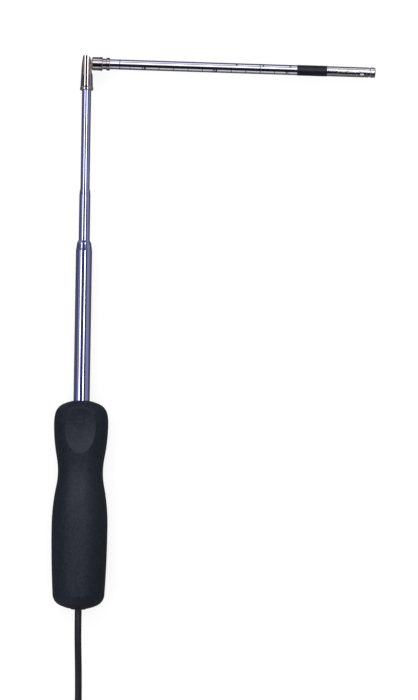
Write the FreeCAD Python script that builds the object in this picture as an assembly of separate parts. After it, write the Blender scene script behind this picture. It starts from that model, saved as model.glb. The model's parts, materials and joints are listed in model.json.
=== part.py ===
import FreeCAD, Part
import math
import os

# A telescoping air-speed probe with an articulated tip.
# It is drawn with the wand along +Y, the folded arm along +X and the thumb side up (+Z).
# Stations are measured along the wand from the bottom of the handle. All sizes are in mm.
# At the end the whole probe is turned to lie on a table on three points.

Vector = FreeCAD.Vector
ORIGIN = Vector(0, 0, 0)
ALONG_WAND = Vector(0, 1, 0)
ALONG_ARM = Vector(1, 0, 0)
UP = Vector(0, 0, 1)

# Handle: two hollow shells with one outline, turned about the wand's axis.
# A drop is a distance back from the handle's top end.
handle_length = 143.7
handle_wall = 2.5
toe_station = 10.3
toe_radius = 17.85
low_dome_radius = 30.0
top_dome_radius = 30.0
belly_drop = 87.0
belly_radius = 19.25
waist_drop = 49.5
waist_radius = 15.5
bulge_drop = 16.0
bulge_radius = 18.7
shoulder_drop = 9.7
shoulder_radius = 18.05
belly_share = 0.75
waist_share = 0.30
dish_drop = 21.0
dish_sphere = 45.0
dish_depth = 4.6
seam_width = 0.4
seam_depth = 0.35

# Cable and its guide
cable_diameter = 4.8
guide_wall = 2.6
guide_flange_width = 2.2
guide_flange = 1.8
guide_end = 7.6

# Telescoping tubes, from the cable outwards: the wall of each, and the space round each for its sleeve
lead_clearance = 0.45
stage4_wall = 0.35
stage4_space = 0.30
stage3_wall = 0.35
stage3_space = 0.40
stage2_wall = 0.40
stage2_space = 0.45
base_wall = 0.50
stage4_radius = cable_diameter / 2 + lead_clearance + stage4_wall
stage3_radius = stage4_radius + stage4_space + stage3_wall
stage2_radius = stage3_radius + stage3_space + stage2_wall
base_radius = stage2_radius + stage2_space + base_wall

# Tube lengths, and how much of each shows past the one before it
base_start = 8.0
base_end = 250.7
stage2_length = 201.0
stage2_show = 3.0
stage3_length = 197.0
stage3_show = 35.5
stage4_length = 208.0
stage4_show = 78.3
crimp_length = 4.0
crimp_wall = 0.4
slide_clearance = 0.05
bead_height = 0.35
bead_width = 1.4
bead_gap = 0.2
sleeve_length = 10.0
sleeve_play = 0.1
collar_width = 0.8
collar_clearance = 0.15
sleeve_slide_clearance = 0.04
sleeve_turn_clearance = 0.03
sleeve_slit = 1.0
lead_start = 115.0

# Handle inside: ribs that clamp the base tube, and posts for the screws
rib_thickness = 2.0
low_rib_stations = [12.0, 64.0, 70.0]
top_rib_drops = [42.0, 14.0]
anchor_ring_width = 3.9
anchor_play = 0.1
post_gap = 1.2
low_post_station = 28.0
top_post_drop = 26.0
front_post_radius = 3.0
rear_post_radius = 3.7
screw_shank_radius = 1.1
screw_length = 8.0
screw_head_radius = 2.3
screw_head_height = 1.6
screw_floor = 4.0
screw_clearance = 0.25

# Wand knuckle: a skirt over the last tube, then two ears either side of a slot
socket_depth = 9.0
skirt_lip = 1.4
skirt_wall = 1.1
skirt_top_wall = 0.85
ear_right = 3.2
ear_top_left = 2.7
ear_side_left = 3.6
notch_height = 12.6
notch_rise = 2.6
slot_half = 2.05
slot_depth = 7.2

# Pivot, a little off both axes so that the arm lines up when it is straight
pivot_offset = 1.0
arm_axis_height = 18.6
pivot_radius = 1.1
pivot_head_radius = 1.9
pivot_head_height = 0.9
pivot_reach = 3.1
pivot_clearance = 0.03
bend_angle = 91.0

# Arm, with stations measured from the wand's axis, and drops back from the tip
arm_length = 199.9
arm_radius = 3.5
arm_wall = 0.4
tongue_half = 1.8
tongue_width = 4.4
barrel_start = 3.5
barrel_end = 10.9
barrel_proud = 1.1
barrel_chamfer = 0.5
neck_end = 13.4
neck_proud = 0.2
ring_end = 15.9
ring_proud = 0.8
spigot_length = 10.6
spigot_wall = 0.7
band_drop = 33.6
band_length = 20.7
band_proud = 0.18
cap_length = 3.6
cap_proud = 0.08
cap_edge = 0.7
groove_length = 1.1
groove_depth = 0.4
cap_plug = 1.4
joiner_length = 12.0
joiner_wall = 0.8

# Sensor window and what stands in it
window_drop = 7.8
window_length = 2.8
window_low = -2.3
window_high = -0.6
carrier_length = 13.2
carrier_socket = 6.0
sensor_radius = 0.15
sensor_offset = 1.0
bead_sensor_radius = 0.4
bead_sensor_offset = 1.8
bead_lead_radius = 0.08
bead_lead_spacing = 0.4
harness_radius = 1.3

# Cord beyond the handle, and the connector on its end
coil_mean_radius = 27.5
coil_outer_turn = 33.5
coil_last_turn = 31.1
coil_width = 17.0
coil_height = 17.4
coil_centre_drop = 110.0
coil_corner = 1.5
tie_thickness = 1.0
tie_width = 12.0
plug_radius = 7.5
plug_body_length = 20.0
plug_shell_radius = 6.6
plug_shell_wall = 0.6
plug_shell_length = 9.5
plug_insert_length = 4.5
boot_length = 26.0
boot_end_radius = 3.3
boot_collar = 1.6
pin_circle = 4.0
pin_radius = 0.5
pin_count = 7
pin_arc = 270
pin_length = 4.0

# Places worked out from the sizes above
guide_radius = cable_diameter / 2 + guide_wall
post_offset = base_radius + post_gap + rear_post_radius
stage2_top = base_end + stage2_show
stage3_top = stage2_top + stage3_show
stage4_top = stage3_top + stage4_show
knuckle_start = stage4_top - socket_depth
skirt_lip_radius = stage4_radius + skirt_lip
skirt_radius = stage4_radius + skirt_wall
skirt_top_radius = stage4_radius + skirt_top_wall
pivot_place = Vector(-pivot_offset, knuckle_start + arm_axis_height + pivot_offset, 0)
arm_inner = arm_radius - arm_wall
barrel_radius = arm_radius + barrel_proud
band_start = arm_length - band_drop - band_length
band_end = arm_length - band_drop
arm_joint = (band_start + band_end) / 2
cap_start = arm_length - cap_length
tip_end = cap_start - groove_length
window_end = arm_length - window_drop
window_start = window_end - window_length
carrier_start = window_start - carrier_length


def wand_rod(radius, start, end):
    return Part.makeCylinder(radius, end - start, Vector(0, start, 0), ALONG_WAND)


def arm_rod(radius, start, end):
    return Part.makeCylinder(radius, end - start, Vector(start, 0, 0), ALONG_ARM)


def arm_pipe(outer, inner, start, end):
    return arm_rod(outer, start, end).cut(arm_rod(inner, start, end))


def post(radius, x, y, low, high):
    return Part.makeCylinder(radius, high - low, Vector(x, y, low), UP)


def block(x0, x1, y0, y1, z0, z1):
    return Part.makeBox(x1 - x0, y1 - y0, z1 - z0, Vector(x0, y0, z0))


def turned(points, axis):
    """A closed outline of (station, radius) points, turned about the axis."""
    if axis == ALONG_WAND:
        corners = [Vector(radius, station, 0) for station, radius in points]
    else:
        corners = [Vector(station, radius, 0) for station, radius in points]
    face = Part.Face(Part.makePolygon(corners + corners[:1]))
    return face.revolve(ORIGIN, axis, 360)


def tangent_arc(start, direction, end):
    """The arc that leaves start along direction and meets end, and its direction there."""
    chord = end - start
    along = Vector(chord).normalize()
    half_turn = math.atan2(direction.cross(along).z, direction.dot(along))
    left = Vector(-along.y, along.x, 0)
    middle = (start + end) * 0.5 - left * (chord.Length / 2 * math.tan(half_turn / 2))
    leaving = along * (2 * direction.dot(along)) - direction
    return Part.Arc(start, middle, end).toShape(), leaving


def arc_chain(points, direction, inset):
    """Tangent arcs through (station, radius) points, moved inward by the inset."""
    here = Vector(points[0][1], points[0][0], 0)
    inward = Vector(-1, 0, 0)
    place = here + inward * inset
    side = -1 if direction.y > 0 else 1
    edges = []
    for station, radius in points[1:]:
        there = Vector(radius, station, 0)
        leaving = tangent_arc(here, direction, there)[1]
        normal = Vector(leaving.y * side, -leaving.x * side, 0)
        next_place = there + normal * inset
        edges.append(tangent_arc(place, direction, next_place)[0])
        here, place, direction = there, next_place, leaving
    return edges, here, direction


def between(start, end, share):
    return tuple(a + (b - a) * share for a, b in zip(start, end))


def domed_end(here, direction, end_station, dome_radius, inset):
    """A round corner and a shallow dome that close the outline on the axis."""
    side = 1 if end_station > here.y else -1
    dome_centre = Vector(0, end_station - side * dome_radius, 0)
    inward = Vector(-side * direction.y, side * direction.x, 0)
    offset = here - dome_centre
    corner_radius = (dome_radius**2 - offset.dot(offset)) / (2 * (inward.dot(offset) + dome_radius))
    corner_centre = here + inward * corner_radius
    towards = (corner_centre - dome_centre).normalize()
    inner = corner_radius - inset
    halfway = (towards - inward).normalize()
    meeting = corner_centre + towards * inner
    corner = Part.Arc(here + inward * inset, corner_centre + halfway * inner, meeting).toShape()
    reach = dome_radius - inset
    on_axis = dome_centre + Vector(0, side * reach, 0)
    partway = (towards + Vector(0, side, 0)).normalize()
    dome = Part.Arc(meeting, dome_centre + partway * reach, on_axis).toShape()
    return [corner, dome], on_axis


def handle_solid(inset):
    belly = (handle_length - belly_drop, belly_radius)
    waist = (handle_length - waist_drop, waist_radius)
    bulge = (handle_length - bulge_drop, bulge_radius)
    shoulder = (handle_length - shoulder_drop, shoulder_radius)
    upper_points = [belly, between(belly, waist, belly_share), waist]
    upper_points += [between(waist, bulge, waist_share), bulge, shoulder]
    upper, top_corner, top_direction = arc_chain(upper_points, Vector(0, 1, 0), inset)
    lower_points = [belly, (toe_station, toe_radius)]
    lower, low_corner, low_direction = arc_chain(lower_points, Vector(0, -1, 0), inset)
    top_edges, top = domed_end(top_corner, top_direction, handle_length, top_dome_radius, inset)
    low_edges, bottom = domed_end(low_corner, low_direction, 0, low_dome_radius, inset)
    edges = lower + low_edges + [Part.makeLine(bottom, top)] + top_edges + upper
    face = Part.Face(Part.Wire(Part.sortEdges(edges)[0]))
    return face.revolve(ORIGIN, ALONG_WAND, 360)


def dish(extra):
    centre = Vector(0, handle_length - dish_drop, bulge_radius - dish_depth + dish_sphere)
    return Part.makeSphere(dish_sphere + extra, centre)


def make_handle_shells():
    outer = handle_solid(0).cut(dish(0))
    hollow = handle_solid(handle_wall).cut(dish(handle_wall))
    shell = outer.cut(hollow)
    size = 2 * handle_length
    front_half = block(-size, size, -size, size, 0, size)
    rear_half = block(-size, size, -size, size, -size, 0)
    ribs = [wand_rod(belly_radius, s, s + rib_thickness) for s in rib_stations()]
    shell = shell.fuse([rib.common(hollow) for rib in ribs])
    seam = block(-size, size, -size, size, -seam_width / 2, seam_width / 2).cut(handle_solid(seam_depth))
    shell = shell.cut(seam)
    front = shell.common(front_half)
    rear = shell.common(rear_half)
    for x, y in screw_places():
        front = front.fuse(post(front_post_radius, x, y, 0, belly_radius).common(hollow))
        rear = rear.fuse(post(rear_post_radius, x, y, -belly_radius, 0).common(outer))
    for x, y in screw_places():
        front = front.cut(post(screw_shank_radius, x, y, 0, screw_length - screw_floor))
        rear = rear.cut(post(screw_shank_radius + screw_clearance, x, y, -belly_radius, 0))
        well = screw_head_radius + screw_clearance
        rear = rear.cut(post(well, x, y, -belly_radius, -screw_floor))
    bore = wand_rod(base_radius, base_start - 1, handle_length + 1)
    guide_hole = wand_rod(guide_radius, -1, base_start)
    guide_seat = wand_rod(guide_radius + guide_flange_width, handle_wall, handle_wall + guide_flange)
    openings = bore.fuse([guide_hole, guide_seat])
    halves = [half.cut(openings).removeSplitter() for half in (front, rear)]
    return {"handle_front_shell": halves[0], "handle_rear_shell": halves[1]}


def rib_stations():
    return low_rib_stations + [handle_length - drop for drop in top_rib_drops]


def screw_places():
    stations = (low_post_station, handle_length - top_post_drop)
    return [(side * post_offset, y) for y in stations for side in (-1, 1)]


def make_handle_screws():
    screws = []
    for x, y in screw_places():
        head = post(screw_head_radius, x, y, -screw_floor - screw_head_height, -screw_floor)
        shank = post(screw_shank_radius, x, y, -screw_floor, screw_length - screw_floor)
        slot_low = -screw_floor - screw_head_height - 1
        slot_high = -screw_floor - screw_head_height / 2
        slots = [block(x - a, x + a, y - b, y + b, slot_low, slot_high) for a, b in ((1.5, 0.3), (0.3, 1.5))]
        screws.append(head.fuse(shank).cut(slots[0].fuse(slots[1])).removeSplitter())
    return {"handle_screws": Part.makeCompound(screws)}


def make_cable_guide():
    bore = cable_diameter / 2
    flange_start = handle_wall
    flange_end = flange_start + guide_flange
    outline = [(0.5, bore), (0, bore + 0.5), (0, guide_radius - 0.3), (0.3, guide_radius)]
    flange_radius = guide_radius + guide_flange_width
    outline += [(flange_start, guide_radius), (flange_start, flange_radius)]
    outline += [(flange_end, flange_radius), (flange_end, guide_radius - 0.4)]
    outline += [(guide_end, guide_radius - 0.4), (guide_end, bore)]
    return {"cable_guide_bush": turned(outline, ALONG_WAND)}


def make_base_tube():
    inner = base_radius - base_wall
    crimp_inner = stage2_radius + slide_clearance
    cone = base_end - crimp_length
    outline = [(base_start, base_radius), (cone, base_radius), (base_end, crimp_inner + crimp_wall)]
    outline += [(base_end, crimp_inner), (cone + 0.4, inner), (base_start, inner)]
    return {"base_tube": turned(outline, ALONG_WAND)}


def make_anchor_ring():
    start = low_rib_stations[1] + rib_thickness + anchor_play
    end = low_rib_stations[2] - anchor_play
    ring = wand_rod(base_radius + anchor_ring_width, start, end).cut(wand_rod(base_radius, start, end))
    return {"tube_anchor_ring": ring}


def sleeve_and_collars(radius, outer_inner, bottom):
    """The slit friction sleeve at a tube's foot, and the two collars that hold it."""
    sleeve_start = bottom + collar_width + sleeve_play
    sleeve_end = sleeve_start + sleeve_length
    outside = outer_inner - sleeve_slide_clearance
    inside = radius + sleeve_turn_clearance
    sleeve = wand_rod(outside, sleeve_start, sleeve_end).cut(wand_rod(inside, sleeve_start, sleeve_end))
    slit = block(-sleeve_slit / 2, sleeve_slit / 2, sleeve_start, sleeve_end, -2 * outside, 0)
    collar_radius = outer_inner - collar_clearance
    top_collar = sleeve_end + sleeve_play
    collars = [wand_rod(collar_radius, s, s + collar_width) for s in (bottom, top_collar)]
    return sleeve.cut(slit), collars


def make_stage2():
    top = stage2_top
    bottom = top - stage2_length
    inner = stage2_radius - stage2_wall
    crimp_inner = stage3_radius + slide_clearance
    bead_radius = stage2_radius + bead_height
    bead_start = base_end + bead_gap
    bead_end = bead_start + bead_width
    outline = [(bottom, stage2_radius), (bead_start, stage2_radius), (bead_start, bead_radius - 0.2)]
    outline += [(bead_start + 0.2, bead_radius), (bead_end - 0.2, bead_radius), (bead_end, bead_radius - 0.2)]
    outline += [(bead_end, stage2_radius), (top, crimp_inner + crimp_wall - 0.05), (top, crimp_inner)]
    outline += [(bead_end, inner), (bottom, inner)]
    tube = turned(outline, ALONG_WAND)
    sleeve, collars = sleeve_and_collars(stage2_radius, base_radius - base_wall, bottom)
    hollow = wand_rod(inner, bottom, bead_end)
    tube = tube.fuse([collar.cut(hollow) for collar in collars]).removeSplitter()
    return {"stage2_sleeve": sleeve, "stage2_tube": tube}


def make_stage3():
    top = stage3_top
    bottom = top - stage3_length
    inner = stage3_radius - stage3_wall
    crimp_inner = stage4_radius + slide_clearance
    cone = top - crimp_length
    outline = [(bottom, stage3_radius), (cone, stage3_radius), (top, crimp_inner + crimp_wall - 0.1)]
    outline += [(top, crimp_inner), (cone + 0.4, inner), (bottom, inner)]
    tube = turned(outline, ALONG_WAND)
    sleeve, collars = sleeve_and_collars(stage3_radius, stage2_radius - stage2_wall, bottom)
    hollow = wand_rod(inner, bottom, cone)
    tube = tube.fuse([collar.cut(hollow) for collar in collars]).removeSplitter()
    return {"stage3_sleeve": sleeve, "stage3_tube": tube}


def make_stage4():
    bottom = stage4_top - stage4_length
    inner = stage4_radius - stage4_wall
    tube = wand_rod(stage4_radius, bottom, stage4_top)
    sleeve, collars = sleeve_and_collars(stage4_radius, stage3_radius - stage3_wall, bottom)
    tube = tube.fuse(collars).cut(wand_rod(inner, bottom, stage4_top)).removeSplitter()
    return {"stage4_sleeve": sleeve, "stage4_tube": tube}


def make_inner_lead():
    lead = wand_rod(cable_diameter / 2, lead_start, stage4_top)
    return {"inner_lead": lead}


def ear_outline():
    """The ears seen from the front: tapered on the left, round about the pivot on the right."""
    start = knuckle_start
    pivot = pivot_place
    round_radius = pivot_offset + ear_right
    round_top = pivot + Vector(0, round_radius, 0)
    round_middle = pivot + Vector(1, 1, 0).normalize() * round_radius
    round_right = pivot + Vector(round_radius, 0, 0)
    notch = start + notch_height
    wide = 2 * skirt_lip_radius
    low_notch = notch - notch_rise
    corners = [round_right, Vector(ear_right, notch, 0), Vector(skirt_radius, low_notch, 0)]
    corners += [Vector(wide, low_notch, 0), Vector(wide, start, 0), Vector(-wide, start, 0)]
    corners += [Vector(-wide, notch - 5, 0), Vector(-skirt_top_radius, notch - 5, 0)]
    corners += [Vector(-ear_side_left, pivot.y - 2, 0), Vector(-ear_top_left, round_top.y, 0), round_top]
    edges = [Part.makeLine(a, b) for a, b in zip(corners, corners[1:])]
    edges.append(Part.Arc(round_top, round_middle, round_right).toShape())
    face = Part.Face(Part.Wire(edges))
    depth = 2 * skirt_lip_radius
    face.translate(Vector(0, 0, -depth))
    return face.extrude(Vector(0, 0, 2 * depth)), round_top.y


def make_wand_knuckle():
    start = knuckle_start
    outside, top = ear_outline()
    socket = stage4_radius
    outline = [(start, socket + 0.5), (start, skirt_lip_radius - 0.15), (start + 0.3, skirt_lip_radius)]
    outline += [(start + 1.6, skirt_lip_radius), (start + 2.4, skirt_radius), (start + 10, skirt_top_radius)]
    outline += [(top, skirt_top_radius), (top, 0), (stage4_top, 0), (stage4_top, socket)]
    outline += [(start + 0.6, socket)]
    body = turned(outline, ALONG_WAND).common(outside)
    slot = block(-10, 10, top - slot_depth, top + 1, -slot_half, slot_half)
    pivot = pivot_place
    hole = post(pivot_radius, pivot.x, pivot.y, -10, pivot_reach)
    seat = post(pivot_head_radius + pivot_clearance, pivot.x, pivot.y, -10, -pivot_reach)
    return {"wand_knuckle": body.cut(slot).cut(hole).cut(seat).removeSplitter()}


def make_pivot():
    pivot = pivot_place
    shank = post(pivot_radius, pivot.x, pivot.y, -pivot_reach, pivot_reach)
    head_low = -pivot_reach - pivot_head_height
    head = post(pivot_head_radius, pivot.x, pivot.y, head_low, -pivot_reach)
    slot = block(pivot.x - 3, pivot.x + 3, pivot.y - 0.3, pivot.y + 0.3, head_low - 1, head_low + 0.45)
    screw = head.fuse(shank).cut(slot).removeSplitter()
    gap = slot_half - tongue_half
    washers = []
    for low in (-slot_half, tongue_half):
        disc = post(tongue_width / 2, pivot.x, pivot.y, low, low + gap)
        washers.append(disc.cut(post(pivot_radius, pivot.x, pivot.y, low, low + gap)))
    return {"pivot_screw": screw, "pivot_washers": Part.makeCompound(washers)}


def make_arm_knuckle():
    """Drawn in the arm's own frame: its axis is X, and the pivot is off to one side."""
    pivot_x = -pivot_offset
    pivot_y = pivot_offset
    half = tongue_width / 2
    tongue = block(pivot_x, barrel_start + 1, pivot_y - half, pivot_y + half, -tongue_half, tongue_half)
    tongue = tongue.fuse(post(half, pivot_x, pivot_y, -tongue_half, tongue_half))
    tongue = tongue.cut(post(pivot_radius + pivot_clearance, pivot_x, pivot_y, -10, 10))
    neck_radius = arm_radius + neck_proud
    bore = arm_inner - spigot_wall
    spigot_end = neck_end + spigot_length
    outline = [(barrel_start, 0), (barrel_start, barrel_radius - barrel_chamfer)]
    outline += [(barrel_start + barrel_chamfer, barrel_radius), (barrel_end - 0.4, barrel_radius)]
    outline += [(barrel_end, barrel_radius - 0.4), (barrel_end, neck_radius), (neck_end, neck_radius)]
    outline += [(neck_end, arm_inner), (spigot_end, arm_inner), (spigot_end, bore)]
    outline += [(barrel_end, bore), (barrel_end - 1, 0)]
    body = turned(outline, ALONG_ARM).fuse(tongue).removeSplitter()
    return {"arm_knuckle": body}


def make_arm_tubes():
    ring_radius = arm_radius + ring_proud
    ring_outline = [(neck_end, arm_inner), (neck_end, ring_radius - 0.3), (neck_end + 0.3, ring_radius)]
    ring_outline += [(ring_end - 0.3, ring_radius), (ring_end, ring_radius - 0.3), (ring_end, arm_inner)]
    joiner_start = arm_joint - joiner_length / 2
    joiner_end = arm_joint + joiner_length / 2
    opening = block(window_start, window_end, window_low, window_high, -10, 10)
    return {
        "arm_lock_ring": turned(ring_outline, ALONG_ARM),
        "arm_tube": arm_pipe(arm_radius, arm_inner, ring_end, arm_joint),
        "tube_joiner": arm_pipe(arm_inner, arm_inner - joiner_wall, joiner_start, joiner_end),
        "sensor_band": arm_pipe(arm_radius + band_proud, arm_radius, band_start, band_end),
        "tip_tube": arm_pipe(arm_radius, arm_inner, arm_joint, tip_end).cut(opening),
    }


def make_tip_parts():
    plug_start = tip_end - cap_plug
    groove_radius = arm_radius - groove_depth
    cap_radius = arm_radius + cap_proud
    outline = [(plug_start, 0), (plug_start, arm_inner), (tip_end, arm_inner), (tip_end, groove_radius)]
    outline += [(cap_start, groove_radius), (cap_start, cap_radius - 0.3), (cap_start + 0.3, cap_radius)]
    outline += [(arm_length - cap_edge, cap_radius), (arm_length, cap_radius - cap_edge), (arm_length, 0)]
    carrier = arm_rod(arm_inner, carrier_start, window_start)
    carrier = carrier.cut(arm_rod(harness_radius, carrier_start, carrier_start + carrier_socket))
    sensor_foot = Vector(window_start, -sensor_offset, 0)
    sensor = Part.makeCylinder(sensor_radius, plug_start - window_start, sensor_foot, ALONG_ARM)
    middle = (window_start + window_end) / 2
    bead = Part.makeSphere(bead_sensor_radius, Vector(middle, -bead_sensor_offset, 0))
    for side in (-0.5, 0.5):
        foot = Vector(window_start, -bead_sensor_offset + side * bead_lead_spacing, 0)
        bead = bead.fuse(Part.makeCylinder(bead_lead_radius, middle - window_start, foot, ALONG_ARM))
    return {
        "tip_cap": turned(outline, ALONG_ARM),
        "sensor_carrier": carrier,
        "velocity_sensor": sensor,
        "temperature_sensor": bead.removeSplitter(),
        "sensor_harness": arm_rod(harness_radius, barrel_end + 1, carrier_start + carrier_socket),
    }


def put_on_arm(shape):
    """From the arm's own frame to the wand's, at the angle where the arm rests."""
    shape.translate(Vector(0, pivot_place.y - pivot_offset, 0))
    shape.rotate(pivot_place, UP, 90 - bend_angle)
    return shape


def resting_placement(pieces):
    """Lays the probe on the handle's bulge, the arm's barrel and the tip cap."""
    bulge_point = Vector(0, handle_length - bulge_drop, -bulge_radius)
    barrel_point = put_on_arm(Part.Vertex(barrel_start, 0, -barrel_radius)).Point
    cap_point = put_on_arm(Part.Vertex(arm_length - cap_edge, 0, -arm_radius - cap_proud)).Point
    normal = (bulge_point - barrel_point).cross(cap_point - barrel_point)
    turn = FreeCAD.Placement(ORIGIN, FreeCAD.Rotation(normal, UP))
    group = Part.makeCompound([shape.transformed(turn.toMatrix()) for shape in pieces])
    box = group.optimalBoundingBox(False, False)
    middle = box.Center
    return FreeCAD.Placement(Vector(-middle.x, -middle.y, -box.ZMin), turn.Rotation)


def lead_route(rest, coil_centre):
    """From inside the handle's guide, down to the table and into the coil's lowest turn."""
    exit_point = rest.multVec(ORIGIN)
    x, y = exit_point.x, exit_point.y
    floor = cable_diameter / 2
    side = coil_centre.x - coil_outer_turn
    points = [exit_point, rest.multVec(Vector(0, -17, 0))]
    points += [Vector(x + 0.5, y - 39, 22.5), Vector(x + 0.4, y - 61, 12.5)]
    points += [Vector(side - 0.6, y - 83, floor + 1.6)]
    points.append(Vector(side, coil_centre.y + 7, floor + tie_thickness))
    return points


def tail_route(coil_centre):
    """From the coil's top turn, down beside it and into the connector's boot."""
    x = coil_centre.x
    y = coil_centre.y - coil_last_turn
    high = coil_height + tie_thickness - cable_diameter / 2
    return [
        Vector(x + 5, y - 0.2, high),
        Vector(x + 20, y - 1.0, high - 0.9),
        Vector(x + 37, y - 2.0, plug_radius + 1.6),
        Vector(x + 53, y - 1.2, plug_radius),
    ]


def route_tube(name, points, diameter):
    """A round tube on straight runs joined by tangent arcs as large as the runs allow."""
    runs = [(b - a).Length for a, b in zip(points, points[1:])]
    edges = []
    start = points[0]
    radii = []
    for index in range(1, len(points) - 1):
        corner = points[index]
        before = (points[index - 1] - corner).normalize()
        after = (points[index + 1] - corner).normalize()
        half_turn = (math.pi - before.getAngle(after)) / 2
        reach = 0.45 * min(runs[index - 1], runs[index])
        radius = reach / math.tan(half_turn)
        arc_start = corner + before * reach
        arc_end = corner + after * reach
        inward = (before + after).normalize()
        middle = corner + inward * (radius / math.cos(half_turn) - radius)
        edges.append(Part.makeLine(start, arc_start))
        edges.append(Part.Arc(arc_start, middle, arc_end).toShape())
        start = arc_end
        radii.append(round(radius, 1))
    edges.append(Part.makeLine(start, points[-1]))
    path = Part.Wire(edges)
    section = Part.Wire(Part.makeCircle(diameter / 2, points[0], points[1] - points[0]))
    tube = path.makePipeShell([section], True, False)
    expected = math.pi * diameter**2 / 4 * path.Length
    print(name, "runs", [round(run, 1) for run in runs], "radii", radii)
    print(name, "length", round(path.Length, 1))
    print(name, "volume", round(tube.Volume, 1), "expected", round(expected, 1))
    return tube


def make_coil(centre):
    inner = coil_mean_radius - coil_width / 2
    outer = coil_mean_radius + coil_width / 2
    low = tie_thickness
    high = tie_thickness + coil_height
    cut = coil_corner
    corners = [(inner + cut, low), (outer - cut, low), (outer, low + cut), (outer, high - cut)]
    corners += [(outer - cut, high), (inner + cut, high), (inner, high - cut), (inner, low + cut)]
    wire = Part.makePolygon([Vector(r, 0, z) for r, z in corners + corners[:1]])
    ring = Part.Face(wire).revolve(ORIGIN, UP, 360)
    reach = tie_thickness
    frame = block(inner - reach, outer + reach, -tie_width / 2, tie_width / 2, 0, high + reach)
    tie = frame.cut(ring).cut(block(inner, outer, -tie_width, tie_width, low, high))
    for shape in (ring, tie):
        shape.translate(centre)
    return {"cable_coil": ring, "coil_tie": tie}


def make_connector(start):
    """The connector lies on the table with its axis along +X."""
    body_start = boot_length
    body_end = body_start + plug_body_length
    shell_end = body_end + plug_shell_length
    cable = cable_diameter / 2
    boot = [(0, cable), (0, boot_end_radius), (body_start, plug_radius - boot_collar), (body_start, cable)]
    body = [(body_start, 0), (body_start, plug_radius - 0.8), (body_start + 0.8, plug_radius)]
    body += [(body_end - 0.8, plug_radius), (body_end, plug_radius - 0.8), (body_end, 0)]
    bore = plug_shell_radius - plug_shell_wall
    shell = [(body_end, bore), (body_end, plug_shell_radius), (shell_end - 0.4, plug_shell_radius)]
    shell += [(shell_end, plug_shell_radius - 0.4), (shell_end, bore)]
    insert_end = body_end + plug_insert_length
    insert = [(body_end, 0), (body_end, bore), (insert_end, bore), (insert_end, 0)]
    pins = []
    for index in range(pin_count):
        angle = math.radians(-pin_arc / 2 + index * pin_arc / (pin_count - 1))
        place = Vector(insert_end, pin_circle * math.sin(angle), pin_circle * math.cos(angle))
        pins.append(Part.makeCylinder(pin_radius, pin_length, place, ALONG_ARM))
    pieces = {
        "connector_boot": turned(boot, ALONG_ARM),
        "connector_body": turned(body, ALONG_ARM),
        "connector_shell": turned(shell, ALONG_ARM),
        "connector_insert": turned(insert, ALONG_ARM),
        "connector_pins": Part.makeCompound(pins),
    }
    for shape in pieces.values():
        shape.translate(start)
    return pieces


def main():
    wand = {}
    for make in (make_handle_shells, make_handle_screws, make_cable_guide, make_base_tube, make_anchor_ring):
        wand.update(make())
    for make in (make_stage2, make_stage3, make_stage4, make_inner_lead, make_wand_knuckle, make_pivot):
        wand.update(make())
    for make in (make_arm_knuckle, make_arm_tubes, make_tip_parts):
        wand.update({name: put_on_arm(shape) for name, shape in make().items()})
    rest = resting_placement(wand.values())
    nodes = {name: shape.transformed(rest.toMatrix()) for name, shape in wand.items()}

    exit_point = rest.multVec(ORIGIN)
    centre = Vector(exit_point.x + coil_outer_turn + 0.4, exit_point.y - coil_centre_drop, 0)
    nodes["cable_lead"] = route_tube("cable_lead", lead_route(rest, centre), cable_diameter)
    nodes.update(make_coil(centre))
    tail = tail_route(centre)
    nodes["cable_tail"] = route_tube("cable_tail", tail, cable_diameter)
    nodes.update(make_connector(tail[-1]))

    os.makedirs("parts", exist_ok=True)
    for name, shape in nodes.items():
        print(name, shape.isValid(), len(shape.Solids), round(shape.Volume, 1))
        shape.exportStep("parts/" + name + ".step")
    print("wand axis", rest.Rotation.multVec(ALONG_WAND))
    print("pivot axis", rest.Rotation.multVec(UP), "through", rest.multVec(pivot_place))
    print("handle bottom", exit_point, "coil centre", centre, "connector start", tail[-1])
    arm_turn = FreeCAD.Rotation(UP, 90 - bend_angle)
    print("arm axis", rest.Rotation.multVec(arm_turn.multVec(ALONG_ARM)))
    for station in (band_start, arm_joint, arm_length):
        print("arm station", station, rest.multVec(put_on_arm(Part.Vertex(station, 0, 0)).Point))


main()
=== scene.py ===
import json
import math

import bmesh
import bpy
from mathutils import Matrix, Vector


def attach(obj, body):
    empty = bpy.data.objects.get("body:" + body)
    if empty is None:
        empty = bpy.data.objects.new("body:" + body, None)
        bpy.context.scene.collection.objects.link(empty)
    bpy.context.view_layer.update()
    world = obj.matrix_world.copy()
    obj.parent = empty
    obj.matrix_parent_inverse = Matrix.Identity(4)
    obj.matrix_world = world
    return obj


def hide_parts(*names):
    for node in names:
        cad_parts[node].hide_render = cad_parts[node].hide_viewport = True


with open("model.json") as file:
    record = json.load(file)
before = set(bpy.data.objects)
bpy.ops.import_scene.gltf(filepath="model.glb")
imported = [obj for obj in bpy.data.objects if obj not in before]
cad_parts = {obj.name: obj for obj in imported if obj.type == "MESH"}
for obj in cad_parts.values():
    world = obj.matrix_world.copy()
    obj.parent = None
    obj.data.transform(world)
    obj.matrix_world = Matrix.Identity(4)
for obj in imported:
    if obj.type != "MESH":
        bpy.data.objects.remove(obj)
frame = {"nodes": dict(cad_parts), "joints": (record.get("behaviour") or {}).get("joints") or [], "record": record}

nodes = frame["nodes"]
record = frame["record"]
joints = {joint["name"]: joint for joint in frame["joints"]}
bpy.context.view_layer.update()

# directions and places that the CAD gives
wandAxis = Vector(joints["stage2_slide"]["axis"]).normalized()
pivot = Vector(joints["arm_fold"]["pos_m"])
pivotAxis = Vector(joints["arm_fold"]["axis"]).normalized()
bandMount = next(mount for mount in record["mounts"] if mount["name"] == "sensor_band_through_duct_hole")
armAxis = Vector(bandMount["axis"]).normalized()
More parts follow.
